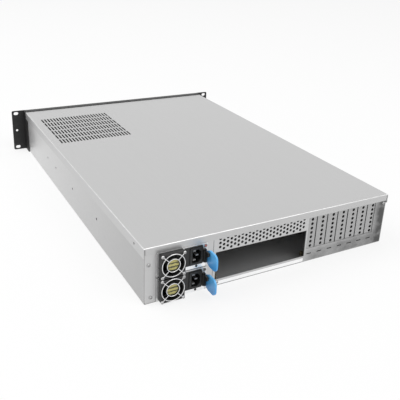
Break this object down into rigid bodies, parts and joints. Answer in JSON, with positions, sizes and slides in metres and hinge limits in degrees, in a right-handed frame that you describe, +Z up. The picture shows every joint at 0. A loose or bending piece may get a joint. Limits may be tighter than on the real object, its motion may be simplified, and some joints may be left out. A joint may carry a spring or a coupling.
{
  "type": "rackmount server case",
  "caption": "Empty two-unit rackmount server case: folded steel tray, sliding lid with cooling slots, slotted rack flanges and plug-in power modules.",
  "frame": {"origin": "on the underside, at the middle of the whole length and width", "axes": "+Z up, +Y towards the rear panel, +X towards the power modules' side"},
  "size_m": [0.4826, 0.691, 0.0881],
  "materials": {
    "zinc_steel": "dull zinc-coated sheet",
    "black_steel": "fine textured black powder coat",
    "bright_steel": "bright nickel plate",
    "black_plastic": "moulded, fine grain",
    "rotor_plastic": "moulded, slightly green black",
    "blue_plastic": "smooth blue moulding",
    "board_green": "solder-masked laminate",
    "brass": "plated brass",
    "clear_plastic": "frosted light pipe"
  },
  "bodies": {
    "chassis": {"chassis_tray": "zinc_steel", "rear_panel": "zinc_steel", "slot_ledge": "zinc_steel", "fan_wall": "zinc_steel", "psu_cage": "zinc_steel", "disk_cage": "zinc_steel", "slot_cover_1": "zinc_steel", "slot_cover_2": "zinc_steel", "slot_cover_3": "zinc_steel", "slot_cover_4": "zinc_steel", "slot_cover_5": "zinc_steel", "slot_cover_6": "zinc_steel", "slot_cover_7": "zinc_steel", "front_panel": "black_steel", "rack_ear_left": "black_steel", "rack_ear_right": "black_steel", "rack_ear_screws": "black_steel", "rear_panel_screws": "bright_steel", "slot_cover_screws": "bright_steel", "control_board_spacers": "bright_steel", "usb_socket_pair": "bright_steel", "board_standoffs": "brass", "wall_fan_1_frame": "black_plastic", "wall_fan_2_frame": "black_plastic", "wall_fan_3_frame": "black_plastic", "wall_fan_4_frame": "black_plastic", "power_distribution_board": "board_green", "control_board": "board_green", "module_sockets": "black_plastic", "button_switches": "black_plastic", "light_pipe": "clear_plastic"},
    "lid": {"top_cover": "zinc_steel"},
    "power_key": {"power_button": "black_plastic"},
    "reset_key": {"reset_button": "black_plastic"},
    "wall_rotor_1": {"wall_fan_1_rotor": "rotor_plastic"},
    "wall_rotor_2": {"wall_fan_2_rotor": "rotor_plastic"},
    "wall_rotor_3": {"wall_fan_3_rotor": "rotor_plastic"},
    "wall_rotor_4": {"wall_fan_4_rotor": "rotor_plastic"},
    "psu_lower_module": {"psu_lower_case": "zinc_steel", "psu_lower_fan_frame": "black_plastic", "psu_lower_fan_guard": "bright_steel", "psu_lower_guard_screws": "bright_steel", "psu_lower_inlet": "black_plastic", "psu_lower_inlet_pins": "brass", "psu_lower_handle": "blue_plastic", "psu_lower_latch_bracket": "bright_steel", "psu_lower_edge_board": "board_green"},
    "psu_lower_rotor": {"psu_lower_fan_rotor": "rotor_plastic"},
    "psu_lower_lever": {"psu_lower_latch": "black_plastic"},
    "psu_upper_module": {"psu_upper_case": "zinc_steel", "psu_upper_fan_frame": "black_plastic", "psu_upper_fan_guard": "bright_steel", "psu_upper_guard_screws": "bright_steel", "psu_upper_inlet": "black_plastic", "psu_upper_inlet_pins": "brass", "psu_upper_handle": "blue_plastic", "psu_upper_latch_bracket": "bright_steel", "psu_upper_edge_board": "board_green"},
    "psu_upper_rotor": {"psu_upper_fan_rotor": "rotor_plastic"},
    "psu_upper_lever": {"psu_upper_latch": "black_plastic"}
  },
  "joints": [
    {"name": "lid_slide", "type": "slide", "parent": "chassis", "child": "lid", "axis": [0, 1, 0], "range_m": [0, 0.012]},
    {"name": "wall_fan_1_spin", "type": "hinge", "parent": "chassis", "child": "wall_rotor_1", "pos_m": [-0.147, -0.0605, 0.0422], "axis": [0, 1, 0], "continuous": true},
    {"name": "wall_fan_2_spin", "type": "hinge", "parent": "chassis", "child": "wall_rotor_2", "pos_m": [-0.049, -0.0605, 0.0422], "axis": [0, 1, 0], "continuous": true},
    {"name": "wall_fan_3_spin", "type": "hinge", "parent": "chassis", "child": "wall_rotor_3", "pos_m": [0.049, -0.0605, 0.0422], "axis": [0, 1, 0], "continuous": true},
    {"name": "wall_fan_4_spin", "type": "hinge", "parent": "chassis", "child": "wall_rotor_4", "pos_m": [0.147, -0.0605, 0.0422], "axis": [0, 1, 0], "continuous": true},
    {"name": "psu_lower_slide", "type": "slide", "parent": "chassis", "child": "psu_lower_module", "axis": [0, 1, 0], "range_m": [0, 0.15]},
    {"name": "psu_lower_fan_spin", "type": "hinge", "parent": "psu_lower_module", "child": "psu_lower_rotor", "pos_m": [0.175, 0.3151, 0.0197], "axis": [0, 1, 0], "continuous": true},
    {"name": "psu_lower_latch_squeeze", "type": "hinge", "parent": "psu_lower_module", "child": "psu_lower_lever", "pos_m": [0.1249, 0.3175, 0.0197], "axis": [0, 0, 1], "range_deg": [0, 7], "stiffness_Nm_per_rad": 0.05, "springref_deg": -2.86},
    {"name": "psu_upper_slide", "type": "slide", "parent": "chassis", "child": "psu_upper_module", "axis": [0, 1, 0], "range_m": [0, 0.15]},
    {"name": "psu_upper_fan_spin", "type": "hinge", "parent": "psu_upper_module", "child": "psu_upper_rotor", "pos_m": [0.175, 0.3151, 0.0577], "axis": [0, 1, 0], "continuous": true},
    {"name": "psu_upper_latch_squeeze", "type": "hinge", "parent": "psu_upper_module", "child": "psu_upper_lever", "pos_m": [0.1249, 0.3175, 0.0577], "axis": [0, 0, 1], "range_deg": [0, 7], "stiffness_Nm_per_rad": 0.05, "springref_deg": -2.86},
    {"name": "power_press", "type": "slide", "parent": "chassis", "child": "power_key", "axis": [0, 1, 0], "range_m": [0, 0.001], "stiffness_N_per_m": 400, "springref_m": -0.001},
    {"name": "reset_press", "type": "slide", "parent": "chassis", "child": "reset_key", "axis": [0, 1, 0], "range_m": [0, 0.001], "stiffness_N_per_m": 400, "springref_m": -0.001}
  ]
}
